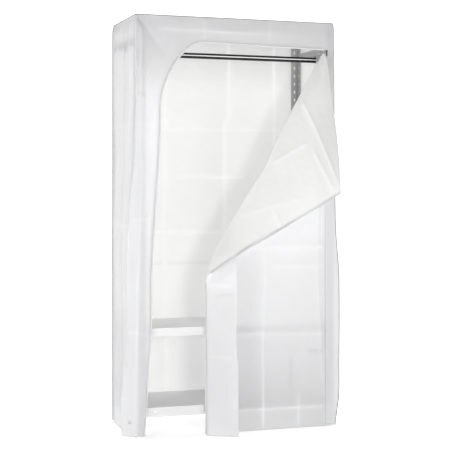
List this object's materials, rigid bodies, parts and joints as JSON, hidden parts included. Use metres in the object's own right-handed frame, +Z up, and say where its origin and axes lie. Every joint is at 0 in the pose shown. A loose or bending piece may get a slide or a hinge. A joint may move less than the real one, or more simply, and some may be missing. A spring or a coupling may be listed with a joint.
{
  "type": "fabric-covered wardrobe",
  "caption": "Freestanding wardrobe: perforated steel angle frame with tray shelves and a hanging rail inside a zipped white non-woven cover, its door pleated and folded open.",
  "frame": {"origin": "middle of the whole object's footprint on the floor, with the door as it hangs at rest", "axes": "+X to the wardrobe's right as you face it, +Y to its back, +Z up; the zipped door faces -Y"},
  "size_m": [0.957, 0.5125, 1.802],
  "materials": {
    "cover_cloth": "soft matt non-woven cloth",
    "zip_tape": "woven tape with coil teeth",
    "shelf_steel": "light grey powder coat, satin",
    "upright_steel": "light grey powder coat, satin",
    "zinc_steel": "zinc plated",
    "rail_chrome": "black chrome, glossy",
    "black_plastic": "moulded",
    "foot_plastic": "moulded, white",
    "zip_metal": "pressed, satin",
    "slider_black": "black lacquer"
  },
  "bodies": {
    "frame": {"upright_front_left": "upright_steel", "upright_front_right": "upright_steel", "upright_back_left": "upright_steel", "upright_back_right": "upright_steel", "foot_front_left": "foot_plastic", "foot_front_right": "foot_plastic", "foot_back_left": "foot_plastic", "foot_back_right": "foot_plastic", "bottom_shelf": "shelf_steel", "bottom_shelf_clips": "zinc_steel", "middle_shelf": "shelf_steel", "middle_shelf_clips": "zinc_steel", "top_shelf": "shelf_steel", "top_shelf_clips": "zinc_steel", "rail_bar_left": "upright_steel", "rail_cup_left": "zinc_steel", "rail_bar_right": "upright_steel", "rail_cup_right": "zinc_steel", "rail_bar_studs": "zinc_steel", "rail_cup_rivets": "zinc_steel", "cover_roof": "cover_cloth", "cover_back": "cover_cloth", "cover_left_side": "cover_cloth", "cover_right_side": "cover_cloth", "cover_front": "cover_cloth", "frame_zip_tape": "zip_tape", "zip_stops": "zip_metal", "hem_eyelet": "zip_metal"},
    "rail": {"hanging_rail": "rail_chrome", "rail_plug_left": "black_plastic", "rail_plug_right": "black_plastic"},
    "slider": {"zip_slider": "slider_black"},
    "pull": {"zip_pull": "slider_black"},
    "door": {"door_panel": "cover_cloth", "door_pleat": "cover_cloth", "pleat_zip_tape": "zip_tape"},
    "corner": {"door_corner": "cover_cloth", "corner_zip_tape": "zip_tape"}
  },
  "joints": [
    {"name": "rail_lift", "type": "slide", "parent": "frame", "child": "rail", "axis": [0, 0, 1], "range_m": [0, 0.06]},
    {"name": "zip_run", "type": "slide", "parent": "frame", "child": "slider", "axis": [-0.9998, 0, 0.0205], "range_m": [0, 0.56]},
    {"name": "pull_swing", "type": "hinge", "parent": "slider", "child": "pull", "pos_m": [0.4365, -0.1596, 1.67819], "axis": [-1, 0, 0], "range_deg": [0, 165]},
    {"name": "door_swing", "type": "hinge", "parent": "frame", "child": "door", "pos_m": [0.4277, -0.1555, 0.86], "axis": [0, 0, 1], "range_deg": [0, 80]},
    {"name": "corner_fold", "type": "hinge", "parent": "door", "child": "corner", "pos_m": [-0.1325, -0.1775, 0.707], "axis": [-0.5015, -0.016, -0.865], "range_deg": [0, 165]}
  ]
}
